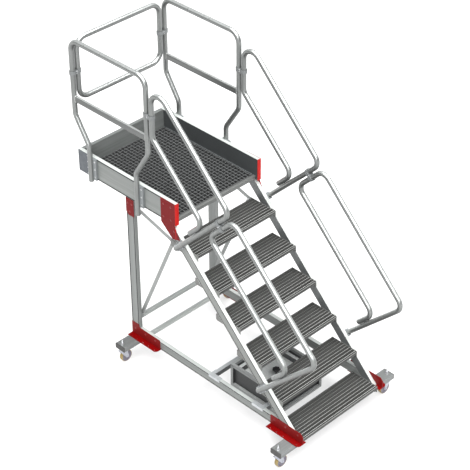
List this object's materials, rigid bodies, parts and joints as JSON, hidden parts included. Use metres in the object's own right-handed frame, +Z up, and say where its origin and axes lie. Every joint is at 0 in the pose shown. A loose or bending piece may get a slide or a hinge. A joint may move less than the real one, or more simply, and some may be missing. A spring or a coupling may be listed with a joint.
{
  "type": "mobile platform ladder",
  "caption": "Wheeled aluminium warehouse ladder: ribbed steps up to a grated platform with guard rails, two-part handrails and a ballast box.",
  "frame": {"origin": "on the floor, below the middle of the bounding box", "axes": "+Y the way the user climbs, towards the platform; +Z up; X across, the ladder is alike on both sides"},
  "size_m": [1.236, 2.4518, 2.5779],
  "materials": {
    "profile_aluminium": "mill finish, satin",
    "tread_aluminium": "ribbed, dull",
    "red_plate": "satin",
    "rail_tube": "satin",
    "zinc_steel": "zinc plated",
    "black_plastic": "grained",
    "grey_casting": "blasted",
    "wheel_tyre": "smooth",
    "grating_steel": "galvanised",
    "ballast_steel": "satin"
  },
  "bodies": {
    "frame": {"ballast_box": "ballast_steel", "ballast_cover": "profile_aluminium", "ballast_knob": "black_plastic", "ballast_weight": "ballast_steel", "base_beam_left": "profile_aluminium", "base_beam_right": "profile_aluminium", "base_brackets_front": "red_plate", "base_brackets_rear": "red_plate", "base_cross_bar": "profile_aluminium", "box_cross_bars": "profile_aluminium", "braces": "profile_aluminium", "caster_stems": "zinc_steel", "deck_bearing_bars": "grating_steel", "deck_cross_bars": "grating_steel", "guard_hoop_left": "rail_tube", "guard_hoop_right": "rail_tube", "guard_rear_loop": "rail_tube", "handrail_feet": "grey_casting", "handrail_lower_left": "rail_tube", "handrail_lower_right": "rail_tube", "handrail_upper_left": "rail_tube", "handrail_upper_right": "rail_tube", "knee_rails": "rail_tube", "leg_cross_bar": "profile_aluminium", "leg_head_plates": "red_plate", "leg_left": "profile_aluminium", "leg_right": "profile_aluminium", "outrigger_caps": "black_plastic", "outriggers_front": "profile_aluminium", "outriggers_rear": "profile_aluminium", "platform_beam_left": "profile_aluminium", "platform_beam_right": "profile_aluminium", "platform_corners": "grey_casting", "platform_front_edge": "profile_aluminium", "platform_plates": "red_plate", "platform_rear_board": "profile_aluminium", "post_holders": "grey_casting", "rail_clamps": "grey_casting", "stringer_left": "profile_aluminium", "stringer_right": "profile_aluminium", "tread_1": "tread_aluminium", "tread_2": "tread_aluminium", "tread_3": "tread_aluminium", "tread_4": "tread_aluminium", "tread_5": "tread_aluminium", "tread_6": "tread_aluminium"},
    "caster_front_left": {"caster_fork_front_left": "zinc_steel", "brake_pedal_front_left": "zinc_steel"},
    "wheel_front_left": {"wheel_front_left": "wheel_tyre"},
    "caster_front_right": {"caster_fork_front_right": "zinc_steel", "brake_pedal_front_right": "zinc_steel"},
    "wheel_front_right": {"wheel_front_right": "wheel_tyre"},
    "caster_rear_left": {"caster_fork_rear_left": "zinc_steel", "brake_pedal_rear_left": "zinc_steel"},
    "wheel_rear_left": {"wheel_rear_left": "wheel_tyre"},
    "caster_rear_right": {"caster_fork_rear_right": "zinc_steel", "brake_pedal_rear_right": "zinc_steel"},
    "wheel_rear_right": {"wheel_rear_right": "wheel_tyre"}
  },
  "joints": [
    {"name": "swivel_front_left", "type": "hinge", "parent": "frame", "child": "caster_front_left", "pos_m": [-0.59, -1.019, 0.11], "axis": [0, 0, 1], "continuous": true},
    {"name": "roll_front_left", "type": "hinge", "parent": "caster_front_left", "child": "wheel_front_left", "pos_m": [-0.562, -1.019, 0.05], "axis": [0, 1, 0], "continuous": true},
    {"name": "swivel_front_right", "type": "hinge", "parent": "frame", "child": "caster_front_right", "pos_m": [0.59, -1.019, 0.11], "axis": [0, 0, 1], "continuous": true},
    {"name": "roll_front_right", "type": "hinge", "parent": "caster_front_right", "child": "wheel_front_right", "pos_m": [0.562, -1.019, 0.05], "axis": [0, 1, 0], "continuous": true},
    {"name": "swivel_rear_left", "type": "hinge", "parent": "frame", "child": "caster_rear_left", "pos_m": [-0.59, 0.645, 0.11], "axis": [0, 0, 1], "continuous": true},
    {"name": "roll_rear_left", "type": "hinge", "parent": "caster_rear_left", "child": "wheel_rear_left", "pos_m": [-0.562, 0.645, 0.05], "axis": [0, 1, 0], "continuous": true},
    {"name": "swivel_rear_right", "type": "hinge", "parent": "frame", "child": "caster_rear_right", "pos_m": [0.59, 0.645, 0.11], "axis": [0, 0, 1], "continuous": true},
    {"name": "roll_rear_right", "type": "hinge", "parent": "caster_rear_right", "child": "wheel_rear_right", "pos_m": [0.562, 0.645, 0.05], "axis": [0, 1, 0], "continuous": true}
  ]
}
